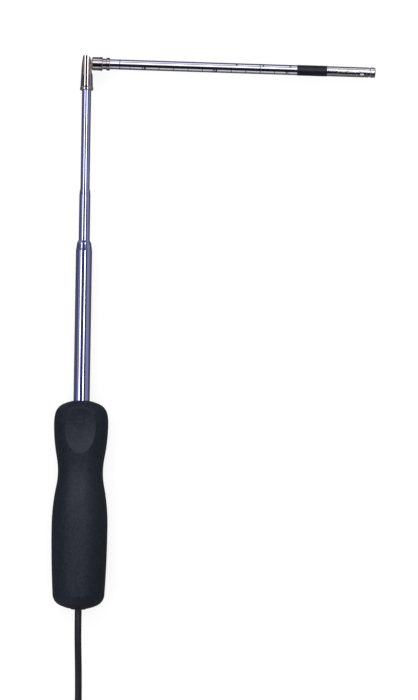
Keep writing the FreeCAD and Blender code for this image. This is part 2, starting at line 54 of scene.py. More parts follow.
bandStation = 0.15595  # the sleeve's middle, along the arm from the hinge's shoulder
armStart = Vector(bandMount["pos_m"]) - armAxis * bandStation
handleFoot = (-0.090288, -0.190824, 0.025919)
coilCentre = (-0.056388, -0.300824)
plugStart = (-0.003388, -0.333124, 0.0075)
print("frame loaded:", len(nodes), "nodes")


# shader nodes, made and linked in one call

def addNode(tree, kind, inputs=None, **settings):
    node = tree.nodes.new(kind)
    for key, value in settings.items():
        setattr(node, key, value)
    for label, value in (inputs or {}).items():
        if isinstance(value, bpy.types.NodeSocket):
            tree.links.new(value, node.inputs[label])
        else:
            node.inputs[label].default_value = value
    return node


def addMath(tree, operation, a, b=0.0):
    return addNode(tree, "ShaderNodeMath", {0: a, 1: b}, operation=operation).outputs[0]


def addSpan(tree, value, low, high, toLow=0.0, toHigh=1.0):
    names = {"Value": value, "From Min": low, "From Max": high, "To Min": toLow, "To Max": toHigh}
    return addNode(tree, "ShaderNodeMapRange", names).outputs[0]


def blendColour(tree, factor, first, second):
    node = addNode(tree, "ShaderNodeMix", {0: factor}, data_type="RGBA")
    for index, value in ((6, first), (7, second)):
        if isinstance(value, bpy.types.NodeSocket):
            tree.links.new(value, node.inputs[index])
        else:
            node.inputs[index].default_value = (*value, 1)
    return node.outputs[2]


# camera and studio

camera = {
    "aim": (-0.0031, -0.01165, 0.013),
    "height": 2.0,
    "viewHeight": 0.483,
    "lean": 0.80,  # degrees that the wand leans in view
    "filmHeight": 36,
    "seesUntil": 20,
}


def addCamera(settings):
    data = bpy.data.cameras.new("camera")
    data.sensor_fit = "VERTICAL"
    data.sensor_height = settings["filmHeight"]
    data.lens = settings["filmHeight"] * settings["height"] / settings["viewHeight"]
    data.clip_end = settings["seesUntil"]
    obj = bpy.data.objects.new("camera", data)
    x, y, z = settings["aim"]
    obj.location = (x, y, z + settings["height"])
    obj.rotation_euler = (0, 0, math.radians(settings["lean"]))
    bpy.context.scene.collection.objects.link(obj)
    bpy.context.scene.camera = obj


studio = {
    "floorSize": 16.0,
    "floorBend": -0.06,
    "floorColour": (0.20, 0.20, 0.20),
    "floorRoughness": 0.9,
    "floorGlow": 0.80,  # its own light, so shadows stay faint
    "sideColour": (0.060, 0.065, 0.150),  # what the tubes mirror between the lamps
    "nearColour": (0.012, 0.012, 0.020),
    "lowColour": (0.150, 0.150, 0.180),
    "sideFrom": -0.06,
    "nearUntil": -0.16,
    "horizon": 0.05,
    "openColour": (0.30, 0.31, 0.35),  # towards the room's corners
    "openSpan": (0.28, 0.44),
    "wandAt": (-0.09, 0.02),  # x and height that the side lamps face
    "armAt": 0.18,  # y that the other lamps face
}

# place, its own width and depth, watts, colour, and whether the metal mirrors it (if so, it lights nothing)
lamps = {
    "fill": ((-0.30, 0.32, 2.30), (3.0, 3.0), 98, (1.0, 0.995, 0.98), False),
    "leftPanel": ((-1.22, 0.17, 0.65), (0.66, 0.56), 0.42, (0.88, 0.86, 1.0), True),
    "leftStrip": ((-0.89, 0.25, 1.14), (0.32, 0.72), 2.8, (1, 1, 1), True),
    "rightStrip": ((0.37, 0.25, 1.34), (0.30, 0.66), 2.9, (1, 1, 1), True),
    "rightPanel": ((0.95, 0.17, 0.34), (0.90, 0.56), 0.5, (0.95, 0.96, 1.0), True),
    "topPanel": ((0.05, 0.90, 1.50), (2.4, 1.06), 15, (1, 1, 1), True),
    "backPanel": ((0.05, 1.90, 0.60), (2.4, 0.56), 6.5, (1, 1, 1), True),
    "edgePanel": ((0.05, 1.95, 0.13), (2.4, 0.26), 2.6, (0.34, 0.35, 0.95), True),
    "lowPanel": ((-0.50, -1.60, 0.50), (1.24, 1.10), 3.4, (0.97, 0.95, 1.0), True),
}


def addLamp(settings, name, place, size, watts, colour, mirrored):
    data = bpy.data.lights.new(name, "AREA")
    data.shape = "RECTANGLE"
    data.size, data.size_y = size
    data.energy = watts
    data.color = colour
    obj = bpy.data.objects.new(name, data)
    obj.location = place
    x, y, z = place
    aimX, aimZ = settings["wandAt"]
    faced = (aimX, y, aimZ) if abs(x) > abs(y) else (x, settings["armAt"], 0)
    toMiddle = Vector(faced) - Vector(place)
    obj.rotation_mode = "QUATERNION"
    obj.rotation_quaternion = Vector((0, 0, -1)).rotation_difference(toMiddle.normalized())
    obj.visible_glossy = mirrored
    obj.visible_diffuse = not mirrored
    bpy.context.scene.collection.objects.link(obj)


def addWorld(settings):
    # low, beside and near the camera the room has its own colours; towards its corners it is open
    world = bpy.data.worlds.new("studio")
    world.use_nodes = True
    tree = world.node_tree
    generated = addNode(tree, "ShaderNodeTexCoord").outputs["Generated"]
    split = addNode(tree, "ShaderNodeSeparateXYZ", {0: generated}).outputs
    beside = addSpan(tree, split["Y"], settings["nearUntil"], settings["sideFrom"])
    room = blendColour(tree, beside, settings["nearColour"], settings["sideColour"])
    raised = addSpan(tree, split["Z"], -settings["horizon"], settings["horizon"])
    room = blendColour(tree, raised, settings["lowColour"], room)
    openings = []
    for label in "XY":
        size = addMath(tree, "ABSOLUTE", split[label])
        openings.append(addSpan(tree, size, *settings["openSpan"]))
    corner = addMath(tree, "MULTIPLY", *openings)
    tree.links.new(blendColour(tree, corner, room, settings["openColour"]), tree.nodes["Background"].inputs["Color"])
    bpy.context.scene.world = world


def addFloor(settings):
    # past the handle the floor falls away beside the wand, so that nothing slides out below it
    half = settings["floorSize"] / 2
    bend = settings["floorBend"]
    far = (half - bend) * wandAxis.z / wandAxis.y
    corners = [(-half, -half, 0), (half, -half, 0), (half, bend, 0), (-half, bend, 0)]
    corners += [(half, half, far), (-half, half, far)]
    mesh = bpy.data.meshes.new("floor")
    mesh.from_pydata(corners, [], [(0, 1, 2, 3), (3, 2, 4, 5)])
    floor = bpy.data.objects.new("floor", mesh)
    bpy.context.scene.collection.objects.link(floor)
    floor.visible_glossy = False
    paper = bpy.data.materials.new("studioFloor")
    paper.use_nodes = True
    shader = paper.node_tree.nodes["Principled BSDF"]
    shader.inputs["Base Color"].default_value = (*settings["floorColour"], 1)
    shader.inputs["Roughness"].default_value = settings["floorRoughness"]
    shader.inputs["Emission Color"].default_value = (1, 1, 1, 1)
    shader.inputs["Emission Strength"].default_value = settings["floorGlow"]
    mesh.materials.append(paper)


addCamera(camera)
addWorld(studio)
addFloor(studio)
for lampName, values in lamps.items():
    addLamp(studio, lampName, *values)
bpy.context.scene.view_settings.view_transform = "Standard"
print("camera and studio ready")


# cable, with the points of its route in metres

cable = {
    "diameter": 0.0048,
    "exit": handleFoot,
    "coilCentre": coilCentre,
    "turnRadius": 0.0275,
    "turnPitch": 0.0048,
    "layerRise": 0.00416,
    "layerShift": 0.0012,
    "lowestTurn": 0.0034,
    "turnsPerLayer": 3,
    "turns": 11.25,
    "pointsPerTurn": 16,
    "stepsBetweenPoints": 6,
    "facetsPerQuarter": 4,
    "crossover": 0.2,
    "lead": [
        handleFoot,
        (-0.090285, -0.207797, 0.026877),
        (-0.089788, -0.229824, 0.0225),
        (-0.089888, -0.251824, 0.0125),
        (-0.090488, -0.273824, 0.0040),
        (-0.089888, -0.287899, 0.0034),
    ],
    "tail": [
        (-0.036388, -0.332924, 0.0150),
        (-0.019388, -0.333924, 0.0091),
        plugStart,
    ],
}


def turnPlace(index, settings):
    layer, step = divmod(index, settings["turnsPerLayer"])
    inward = layer % 2 == 0
    row = (settings["turnsPerLayer"] - 1) / 2 - step
    row = row if inward else -row
    shift = settings["layerShift"] if inward else -settings["layerShift"]
    radius = settings["turnRadius"] + row * settings["turnPitch"] + shift
    return radius, settings["lowestTurn"] + layer * settings["layerRise"]


def coilPoints(settings):
    points = []
    centreX, centreY = settings["coilCentre"]
    count = int(settings["turns"] * settings["pointsPerTurn"]) + 1
    for number in range(count):
        turn = number / settings["pointsPerTurn"]
        index = int(turn)
        radius, height = turnPlace(index, settings)
        crossed = (turn - index - 1 + settings["crossover"]) / settings["crossover"]
        if crossed > 0:
            nextRadius, nextHeight = turnPlace(index + 1, settings)
            radius += (nextRadius - radius) * crossed
            height += (nextHeight - height) * crossed
        angle = math.pi + turn * 2 * math.pi
        points.append((centreX + radius * math.cos(angle), centreY + radius * math.sin(angle), height))
    return points


def addCable(settings):
    points = settings["lead"] + coilPoints(settings) + settings["tail"]
    data = bpy.data.curves.new("cable", "CURVE")
    data.dimensions = "3D"
    spline = data.splines.new("NURBS")
    spline.points.add(len(points) - 1)
    for point, place in zip(spline.points, points):
        point.co = (*place, 1)
    spline.order_u = 3
    spline.use_endpoint_u = True
    spline.resolution_u = settings["stepsBetweenPoints"]
    obj = bpy.data.objects.new("cable", data)
    bpy.context.scene.collection.objects.link(obj)
    line = bpy.data.meshes.new_from_object(obj)
    length = sum((line.vertices[e.vertices[0]].co - line.vertices[e.vertices[1]].co).length for e in line.edges)
    bpy.data.meshes.remove(line)
    data.bevel_depth = settings["diameter"] / 2
    data.bevel_resolution = settings["facetsPerQuarter"]
    data.use_fill_caps = True
    return obj, length


cablePiece, cableLength = addCable(cable)
print("cable laid,", round(cableLength, 3), "m")


# shared effects, each one group of shader nodes

def newGroup(name, inputs, outputs):
    tree = bpy.data.node_groups.new(name, "ShaderNodeTree")
    for label, kind, value in inputs:
        socket = tree.interface.new_socket(label, in_out="INPUT", socket_type=kind)
        if value is not None:
            socket.default_value = value
    for label, kind in outputs:
        tree.interface.new_socket(label, in_out="OUTPUT", socket_type=kind)
    return tree, tree.nodes.new("NodeGroupInput").outputs, tree.nodes.new("NodeGroupOutput").inputs


def makeGrainGroup():
    inputs = [("Vector", "NodeSocketVector", None), ("Scale", "NodeSocketFloat", 2000.0)]
    tree, given, result = newGroup("grain", inputs, [("Height", "NodeSocketFloat"), ("Tone", "NodeSocketFloat")])
    fine = {"Vector": given["Vector"], "Scale": given["Scale"], "Detail": 3.0, "Roughness": 0.6}
    noise = addNode(tree, "ShaderNodeTexNoise", fine).outputs[0]
    cells = {"Vector": given["Vector"], "Scale": addMath(tree, "MULTIPLY", given["Scale"], 0.7)}
    pebbles = addNode(tree, "ShaderNodeTexVoronoi", cells, feature="SMOOTH_F1").outputs["Distance"]
    tree.links.new(addMath(tree, "SUBTRACT", noise, addMath(tree, "MULTIPLY", pebbles, 0.6)), result["Height"])
    wide = {"Vector": given["Vector"], "Scale": addMath(tree, "MULTIPLY", given["Scale"], 0.012), "Detail": 4.0}
    cloud = addNode(tree, "ShaderNodeTexNoise", wide).outputs[0]
    speck = addMath(tree, "MULTIPLY", addSpan(tree, noise, 0.35, 0.70), 0.6)
    tree.links.new(addMath(tree, "ADD", speck, addMath(tree, "MULTIPLY", cloud, 0.4)), result["Tone"])
    return tree


def makeSmudgeGroup():
    inputs = [("Vector", "NodeSocketVector", None), ("Scale", "NodeSocketFloat", 60.0)]
    inputs += [("Clean", "NodeSocketFloat", 0.08), ("Smudged", "NodeSocketFloat", 0.2)]
    tree, given, result = newGroup("smudges", inputs, [("Roughness", "NodeSocketFloat")])
    patch = {"Vector": given["Vector"], "Scale": given["Scale"], "Detail": 5.0, "Distortion": 1.4}
    noise = addNode(tree, "ShaderNodeTexNoise", patch).outputs[0]
    tree.links.new(addSpan(tree, noise, 0.40, 0.68, given["Clean"], given["Smudged"]), result["Roughness"])
    return tree


def makeDrawnGroup():
    # fine lines left along a tube by drawing and by sliding, with the tube's axis along Z
    inputs = [("Vector", "NodeSocketVector", None), ("Scale", "NodeSocketFloat", 1500.0)]
    inputs += [("Stretch", "NodeSocketFloat", 0.01)]
    outputs = [("Height", "NodeSocketFloat"), ("Scratch", "NodeSocketFloat")]
    tree, given, result = newGroup("drawnLines", inputs, outputs)
    split = addNode(tree, "ShaderNodeSeparateXYZ", {0: given["Vector"]}).outputs
    longer = addMath(tree, "MULTIPLY", split[2], given["Stretch"])
    along = addNode(tree, "ShaderNodeCombineXYZ", {0: split[0], 1: split[1], 2: longer}).outputs[0]
    lines = addNode(tree, "ShaderNodeTexNoise", {"Vector": along, "Scale": given["Scale"], "Detail": 2.0}).outputs[0]
    tree.links.new(lines, result["Height"])
    coarse = {"Vector": along, "Scale": addMath(tree, "MULTIPLY", given["Scale"], 0.45)}
    rare = addNode(tree, "ShaderNodeTexNoise", coarse).outputs[0]
    tree.links.new(addSpan(tree, rare, 0.66, 0.72), result["Scratch"])
    return tree


def makeScuffGroup():
    inputs = [("Vector", "NodeSocketVector", None), ("Scale", "NodeSocketFloat", 120.0)]
    inputs += [("Amount", "NodeSocketFloat", 0.3)]
    tree, given, result = newGroup("scuffs", inputs, [("Mask", "NodeSocketFloat")])
    rough = {"Vector": given["Vector"], "Scale": given["Scale"], "Detail": 9.0, "Roughness": 0.72}
    noise = addNode(tree, "ShaderNodeTexNoise", rough).outputs[0]
    start = addMath(tree, "SUBTRACT", 0.80, addMath(tree, "MULTIPLY", given["Amount"], 0.3))
    tree.links.new(addSpan(tree, noise, start, addMath(tree, "ADD", start, 0.08)), result["Mask"])
    return tree


def makeTurnedGroup():
    # rings left by a lathe tool, with the axis along Z
    inputs = [("Vector", "NodeSocketVector", None), ("Pitch", "NodeSocketFloat", 0.0003)]
    tree, given, result = newGroup("turnedRings", inputs, [("Height", "NodeSocketFloat")])
    along = addNode(tree, "ShaderNodeSeparateXYZ", {0: given["Vector"]}).outputs[2]
    phase = addMath(tree, "MULTIPLY", addMath(tree, "DIVIDE", along, given["Pitch"]), 2 * math.pi)
    uneven = addNode(tree, "ShaderNodeTexNoise", {"Vector": given["Vector"], "Scale": 900.0}).outputs[0]
    wave = addMath(tree, "SINE", addMath(tree, "ADD", phase, addMath(tree, "MULTIPLY", uneven, 1.5)))
    tree.links.new(wave, result["Height"])
    return tree


def makeWeaveGroup():
    # over and under threads on a strap's own UV map, one thread to a unit; the tone is painted light on the threads
    # that lie over and painted shade where they go under, with random fuzz
    inputs = [("Vector", "NodeSocketVector", None)]
    tree, given, result = newGroup("weave", inputs, [("Height", "NodeSocketFloat"), ("Tone", "NodeSocketFloat")])
    split = addNode(tree, "ShaderNodeSeparateXYZ", {0: given["Vector"]}).outputs
    across = addMath(tree, "SINE", addMath(tree, "MULTIPLY", split[0], math.pi))
    along = addMath(tree, "SINE", addMath(tree, "MULTIPLY", split[1], math.pi))
    over = addMath(tree, "MULTIPLY", across, along)
    fuzz = addNode(tree, "ShaderNodeTexNoise", {"Vector": given["Vector"], "Scale": 5.0, "Detail": 6.0}).outputs[0]
    tree.links.new(addMath(tree, "ADD", addMath(tree, "MULTIPLY", over, 0.5), fuzz), result["Height"])
    # painted light and shade: threads lying over are lighter and threads going under are darker; the fuzz is random
    # tone
    paintedThreadLight, matted = addMath(tree, "MULTIPLY", over, 0.25), addMath(tree, "MULTIPLY", fuzz, 0.7)
    tree.links.new(addMath(tree, "ADD", paintedThreadLight, matted), result["Tone"])
    return tree


groups = {
    "grain": makeGrainGroup(),
    "smudges": makeSmudgeGroup(),
    "drawnLines": makeDrawnGroup(),
    "scuffs": makeScuffGroup(),
    "turnedRings": makeTurnedGroup(),
    "weave": makeWeaveGroup(),
}
print("shared effects ready:", ", ".join(groups))


# materials

wear = {"hazy": 0.86, "scratched": 0.70, "lowSpots": 0.72}  # share of the clean colour


def newMaterial(name, sockets):
    material = bpy.data.materials.new(name)
    material.use_nodes = True
    shader = material.node_tree.nodes["Principled BSDF"]
    for label, value in sockets.items():
        shader.inputs[label].default_value = value
    return material, material.node_tree, shader


def effect(tree, name, vector, **values):
    node = tree.nodes.new("ShaderNodeGroup")
    node.node_tree = groups[name]
    tree.links.new(vector, node.inputs["Vector"])
    for label, value in values.items():
        node.inputs[label].default_value = value
    return node.outputs


def objectPlace(tree):
    return addNode(tree, "ShaderNodeTexCoord").outputs["Object"]


def alongAxis(tree, axis, origin):
    # turns the pattern so that a tube's own axis is Z
    turn = axis.rotation_difference(Vector((0, 0, 1)))
    given = {"Vector": objectPlace(tree), "Rotation": turn.to_euler(), "Location": -(turn @ Vector(origin))}
    return addNode(tree, "ShaderNodeMapping", given).outputs[0]


def addBump(tree, shader, height, strength, distance, under=None):
    given = {"Height": height, "Strength": strength, "Distance": distance}
    if under:
        given["Normal"] = under
    bump = addNode(tree, "ShaderNodeBump", given).outputs[0]
    tree.links.new(bump, shader.inputs["Normal"])
    return bump


def shade(colour, factor):
    return tuple(channel * factor for channel in colour)


def plasticFinish(name, dark, light, scuffed, roughness, grainScale, depth, scuff, specular=0.5):
    # moulded plastic or rubber: grain, cloudy tone, handled patches and pale scuffs
    material, tree, shader = newMaterial(name, {"IOR": 1.46, "Specular IOR Level": specular})
    place = objectPlace(tree)
    grain = effect(tree, "grain", place, Scale=grainScale)
    scuffs = effect(tree, "scuffs", place, Scale=150.0, Amount=scuff)["Mask"]
    plain = blendColour(tree, grain["Tone"], dark, light)
    tree.links.new(blendColour(tree, scuffs, plain, scuffed), shader.inputs["Base Color"])
    worn = effect(tree, "smudges", place, Scale=45.0, Clean=roughness[0], Smudged=roughness[1])
    tree.links.new(worn["Roughness"], shader.inputs["Roughness"])
    addBump(tree, shader, grain["Height"], 0.35, depth)
    return material


def tubeFinish(name, axis, origin, colour, edgeTint, roughness, lineDepth):
    # polished tube: drawn lines along it, fingerprints and a few hairline scratches
    material, tree, shader = newMaterial(name, {"Metallic": 1.0, "Specular Tint": (*edgeTint, 1)})
    place = alongAxis(tree, axis, origin)
    lines = effect(tree, "drawnLines", place, Scale=2600.0, Stretch=0.006)
    cloud = effect(tree, "grain", place, Scale=2500.0)["Tone"]
    polished = blendColour(tree, cloud, shade(colour, wear["hazy"]), colour)
    scratched = shade(colour, wear["scratched"])
    tree.links.new(blendColour(tree, lines["Scratch"], polished, scratched), shader.inputs["Base Color"])
    marks = effect(tree, "smudges", place, Scale=70.0, Clean=roughness[0], Smudged=roughness[1])["Roughness"]
    roughened = addMath(tree, "ADD", marks, addMath(tree, "MULTIPLY", lines["Scratch"], 0.12))
    tree.links.new(roughened, shader.inputs["Roughness"])
    addBump(tree, shader, lines["Height"], 0.25, lineDepth)
    return material


def turnedFinish(name, axis, origin, colour, worn, roughness, pitch, depth):
    # plated piece off a lathe: tool rings, darker plating in the low spots, bright rubbed patches
    material, tree, shader = newMaterial(name, {"Metallic": 1.0, "Specular Tint": (0.55, 0.55, 0.58, 1)})
    place = alongAxis(tree, axis, origin)
    rings = effect(tree, "turnedRings", place, Pitch=pitch)["Height"]
    grain = effect(tree, "grain", place, Scale=3200.0)
    rubbed = effect(tree, "scuffs", place, Scale=420.0, Amount=0.6)["Mask"]
    plated = blendColour(tree, grain["Tone"], shade(colour, wear["lowSpots"]), colour)
    tree.links.new(blendColour(tree, rubbed, plated, worn), shader.inputs["Base Color"])
    marks = effect(tree, "smudges", place, Scale=160.0, Clean=roughness[0], Smudged=roughness[1])["Roughness"]
    tree.links.new(marks, shader.inputs["Roughness"])
    fine = addBump(tree, shader, rings, 0.2, depth)
    addBump(tree, shader, grain["Height"], 0.06, depth, fine)
    return material


def glassFinish(name):
    sockets = {"Base Color": (0.92, 0.86, 0.80, 1), "IOR": 1.5, "Transmission Weight": 0.75}
    material, tree, shader = newMaterial(name, sockets)
    place = objectPlace(tree)
    marks = effect(tree, "smudges", place, Scale=2500.0, Clean=0.04, Smudged=0.2)["Roughness"]
    tree.links.new(marks, shader.inputs["Roughness"])
    addBump(tree, shader, effect(tree, "grain", place, Scale=5200.0)["Height"], 0.2, 0.00002)
    return material


def strapFinish(name):
    # nylon weave with a looped pile, on the strap's own UV map; its colour carries the weave's painted light and shade
    # on the threads, plus random pile tone
    material, tree, shader = newMaterial(name, {"Sheen Weight": 0.4, "Sheen Roughness": 0.5, "Roughness": 0.85})
    threads = effect(tree, "weave", addNode(tree, "ShaderNodeUVMap", uv_map="strap").outputs[0])
    pile = effect(tree, "grain", objectPlace(tree), Scale=3800.0)
    # painted shade: the weave's tone, lighter over raised threads and darker under them, goes into the colour with the
    # random pile
    weaveShadeAndFuzz, looped = addMath(tree, "MULTIPLY", threads["Tone"], 0.6), addMath(tree, "MULTIPLY", pile["Tone"], 0.4)
    tone = addMath(tree, "ADD", weaveShadeAndFuzz, looped)
    tree.links.new(blendColour(tree, tone, (0.006, 0.006, 0.008), (0.045, 0.045, 0.052)), shader.inputs["Base Color"])
    raised = addBump(tree, shader, threads["Height"], 0.7, 0.00018)
    addBump(tree, shader, pile["Height"], 0.5, 0.00012, raised)
    return material


# each finish: its colours, then roughness from clean to handled, then sizes of its relief in metres
plastics = {
    "handlePlastic": {"dark": (0.0012, 0.0017, 0.0031), "light": (0.0128, 0.0160, 0.0275),
                      "scuffed": (0.026, 0.030, 0.040), "roughness": (0.50, 0.62), "grainScale": 800.0,
                      "depth": 0.00012, "scuff": 0.25, "specular": 0.34},
    "guideRubber": {"dark": (0.010, 0.010, 0.012), "light": (0.024, 0.024, 0.027), "scuffed": (0.06, 0.06, 0.06),
                    "roughness": (0.55, 0.72), "grainScale": 3200.0, "depth": 0.00005, "scuff": 0.2},
    "cableJacket": {"dark": (0.0062, 0.0062, 0.0088), "light": (0.0135, 0.0135, 0.0175), "scuffed": (0.05, 0.05, 0.055),
                    "roughness": (0.34, 0.50), "grainScale": 2600.0, "depth": 0.00003, "scuff": 0.3},
    "bandSleeve": {"dark": (0.0018, 0.0024, 0.0044), "light": (0.0042, 0.0055, 0.0092), "scuffed": (0.05, 0.055, 0.065),
                   "roughness": (0.34, 0.46), "grainScale": 1500.0, "depth": 0.00004, "scuff": 0.35, "specular": 0.36},
    "insulator": {"dark": (0.050, 0.048, 0.045), "light": (0.095, 0.090, 0.085), "scuffed": (0.20, 0.19, 0.18),
                  "roughness": (0.5, 0.65), "grainScale": 4200.0, "depth": 0.00003, "scuff": 0.3},
    "plugPlastic": {"dark": (0.013, 0.013, 0.015), "light": (0.027, 0.027, 0.031), "scuffed": (0.08, 0.08, 0.085),
                    "roughness": (0.38, 0.55), "grainScale": 3000.0, "depth": 0.00005, "scuff": 0.35},
    "ceramic": {"dark": (0.30, 0.27, 0.22), "light": (0.46, 0.42, 0.36), "scuffed": (0.60, 0.56, 0.50),
                "roughness": (0.25, 0.4), "grainScale": 6000.0, "depth": 0.00001, "scuff": 0.4},
    "printInk": {"dark": (0.002, 0.002, 0.012), "light": (0.006, 0.006, 0.030), "scuffed": (0.10, 0.10, 0.14),
                 "roughness": (0.45, 0.6), "grainScale": 5200.0, "depth": 0.00001, "scuff": 0.2, "specular": 0.2},
}
alongWand = {"axis": wandAxis, "origin": handleFoot}
alongArm = {"axis": armAxis, "origin": armStart}
alongPivot = {"axis": pivotAxis, "origin": pivot}
alongPlug = {"axis": Vector((1, 0, 0)), "origin": plugStart}
tubes = {
    "wandChrome": {**alongWand, "colour": (0.54, 0.56, 0.79), "edgeTint": (0.36, 0.35, 0.50), "roughness": (0.05, 0.13),
                   "lineDepth": 0.000004},
    "armSteel": {**alongArm, "colour": (0.78, 0.78, 0.80), "edgeTint": (0.10, 0.10, 0.40), "roughness": (0.05, 0.12),
                 "lineDepth": 0.000004},
    "tipSteel": {**alongArm, "colour": (0.66, 0.64, 0.62), "edgeTint": (0.42, 0.41, 0.42), "roughness": (0.12, 0.22),
                 "lineDepth": 0.000006},
}
turned = {
    "darkNickel": {**alongArm, "colour": (0.56, 0.52, 0.48), "worn": (0.68, 0.64, 0.60), "roughness": (0.07, 0.16),
                   "pitch": 0.00034, "depth": 0.000006},
    "wandNickel": {**alongWand, "colour": (0.64, 0.57, 0.49), "worn": (0.74, 0.68, 0.60), "roughness": (0.03, 0.08),
                   "pitch": 0.00034, "depth": 0.000002},
    "screwSteel": {**alongPivot, "colour": (0.50, 0.50, 0.51), "worn": (0.78, 0.78, 0.78), "roughness": (0.2, 0.34),
                   "pitch": 0.00022, "depth": 0.000008},
    "brass": {**alongWand, "colour": (0.70, 0.54, 0.26), "worn": (0.88, 0.74, 0.42), "roughness": (0.18, 0.34),
              "pitch": 0.00020, "depth": 0.000008},
    "plugShell": {**alongPlug, "colour": (0.55, 0.55, 0.57), "worn": (0.80, 0.80, 0.80), "roughness": (0.14, 0.28),
                  "pitch": 0.00025, "depth": 0.000006},
    "pinGold": {**alongPlug, "colour": (0.83, 0.62, 0.25), "worn": (0.95, 0.78, 0.42), "roughness": (0.12, 0.24),
                "pitch": 0.00015, "depth": 0.000004},
    "copperWire": {**alongArm, "colour": (0.60, 0.30, 0.16), "worn": (0.85, 0.55, 0.36), "roughness": (0.2, 0.35),
                   "pitch": 0.0001, "depth": 0.000003},
}
finishes = {"beadGlass": glassFinish("beadGlass"), "strapNylon": strapFinish("strapNylon")}
for make, table in ((plasticFinish, plastics), (tubeFinish, tubes), (turnedFinish, turned)):
    for name, values in table.items():
        finishes[name] = make(name, **values)
uses = {
    "handlePlastic": ["handle_front_shell", "handle_rear_shell"],
    "wandChrome": ["base_tube", "stage2_tube", "stage3_tube", "stage4_tube"],
    "armSteel": ["arm_tube"],
    "tipSteel": ["tip_tube", "tip_cap"],
    "darkNickel": ["arm_knuckle", "arm_lock_ring"],
    "wandNickel": ["wand_knuckle"],
    "screwSteel": ["pivot_screw", "handle_screws"],
    "brass": ["tube_anchor_ring", "stage2_sleeve", "stage3_sleeve", "stage4_sleeve", "pivot_washers", "tube_joiner"],
    "plugShell": ["connector_shell"],
    "pinGold": ["connector_pins"],
    "guideRubber": ["cable_guide_bush"],
    "cableJacket": ["inner_lead", "sensor_harness"],
    "bandSleeve": ["sensor_band"],
    "insulator": ["sensor_carrier", "connector_insert"],
    "ceramic": ["velocity_sensor"],
    "beadGlass": ["temperature_sensor"],
}
for finish, names in uses.items():
    for name in names:
        for slot in nodes[name].material_slots:
            slot.material = finishes[finish]
# the panel over the arm leaves the wand's own stripes alone
wandPieces = bpy.data.collections.new("wandPieces")
for name in uses["wandChrome"] + uses["wandNickel"]:
    wandPieces.objects.link(nodes[name])
for member in wandPieces.collection_objects:
    member.light_linking.link_state = "EXCLUDE"
bpy.data.objects["topPanel"].light_linking.receiver_collection = wandPieces
print("materials ready:", len(finishes))


# geometry node trees for what repeats

def newShapeTree(name, inputs):
    tree = bpy.data.node_groups.new(name, "GeometryNodeTree")
    tree.interface.new_socket("Geometry", in_out="INPUT", socket_type="NodeSocketGeometry")
    tree.interface.new_socket("Geometry", in_out="OUTPUT", socket_type="NodeSocketGeometry")
    for label, kind, value in inputs:
        socket = tree.interface.new_socket(label, in_out="INPUT", socket_type=kind)
        if value is not None:
            socket.default_value = value
    return tree, tree.nodes.new("NodeGroupInput").outputs, tree.nodes.new("NodeGroupOutput").inputs


def finishTree(tree, given, result, instances):
    real = addNode(tree, "GeometryNodeRealizeInstances", {0: instances}).outputs[0]
    painted = addNode(tree, "GeometryNodeSetMaterial", {"Geometry": real, "Material": given["Material"]}).outputs[0]
    tree.links.new(painted, result[0])
    return tree


def makeBandTree():
    # raised lines round an axis along Z, one after the other
    lengths = ["Radius", "Line Width", "Line Height", "Spacing", "Start Angle", "Sweep"]
    inputs = [(label, "NodeSocketFloat", 0.001) for label in lengths]
    inputs += [("Count", "NodeSocketInt", 1), ("Steps", "NodeSocketInt", 24), ("Material", "NodeSocketMaterial", None)]
    tree, given, result = newShapeTree("roundLines", inputs)
    arcSizes = {"Resolution": given["Steps"], "Radius": given["Radius"], "Start Angle": given["Start Angle"]}
    arcSizes["Sweep Angle"] = given["Sweep"]
    arc = addNode(tree, "GeometryNodeCurveArc", arcSizes, mode="RADIUS").outputs[0]
    profileSizes = {"Width": given["Line Height"], "Height": given["Line Width"]}
    profile = addNode(tree, "GeometryNodeCurvePrimitiveQuadrilateral", profileSizes).outputs[0]
    swept = {"Curve": arc, "Profile Curve": profile, "Fill Caps": True}
    line = addNode(tree, "GeometryNodeCurveToMesh", swept).outputs[0]
    step = addNode(tree, "ShaderNodeCombineXYZ", {2: given["Spacing"]}).outputs[0]
    places = addNode(tree, "GeometryNodeMeshLine", {"Count": given["Count"], "Offset": step}).outputs[0]
    lines = addNode(tree, "GeometryNodeInstanceOnPoints", {"Points": places, "Instance": line}).outputs[0]
    return finishTree(tree, given, result, lines)


def makeRidgeTree():
    # straight ridges along Z, set round a circle
    lengths = ["Radius", "Ridge Width", "Ridge Height", "Ridge Length"]
    inputs = [(label, "NodeSocketFloat", 0.001) for label in lengths]
    inputs += [("Count", "NodeSocketInt", 24), ("Material", "NodeSocketMaterial", None)]
    tree, given, result = newShapeTree("ridges", inputs)
    circle = addNode(tree, "GeometryNodeMeshCircle", {"Vertices": given["Count"], "Radius": given["Radius"]}).outputs[0]
    sides = {0: given["Ridge Height"], 1: given["Ridge Width"], 2: given["Ridge Length"]}
    size = addNode(tree, "ShaderNodeCombineXYZ", sides).outputs[0]
    ridge = addNode(tree, "GeometryNodeMeshCube", {"Size": size}).outputs[0]
    outward = addNode(tree, "GeometryNodeInputPosition").outputs[0]
    facing = addNode(tree, "FunctionNodeAlignRotationToVector", {"Vector": outward}, axis="X").outputs[0]
    placed = {"Points": circle, "Instance": ridge, "Rotation": facing}
    return finishTree(tree, given, result, addNode(tree, "GeometryNodeInstanceOnPoints", placed).outputs[0])


shapeTrees = {"roundLines": makeBandTree(), "ridges": makeRidgeTree()}


def fromTree(name, treeName, values, place):
    tree = shapeTrees[treeName]
    obj = bpy.data.objects.new(name, bpy.data.meshes.new(name))
    bpy.context.scene.collection.objects.link(obj)
    modifier = obj.modifiers.new("shape", "NODES")
    modifier.node_group = tree
    for item in tree.interface.items_tree:
        if item.in_out == "INPUT" and item.name in values:
            modifier[item.identifier] = values[item.name]
    shaped = obj.evaluated_get(bpy.context.evaluated_depsgraph_get())
    mesh = bpy.data.meshes.new_from_object(shaped)
    obj.modifiers.clear()
    obj.data = mesh
    mesh.transform(place)
    return obj


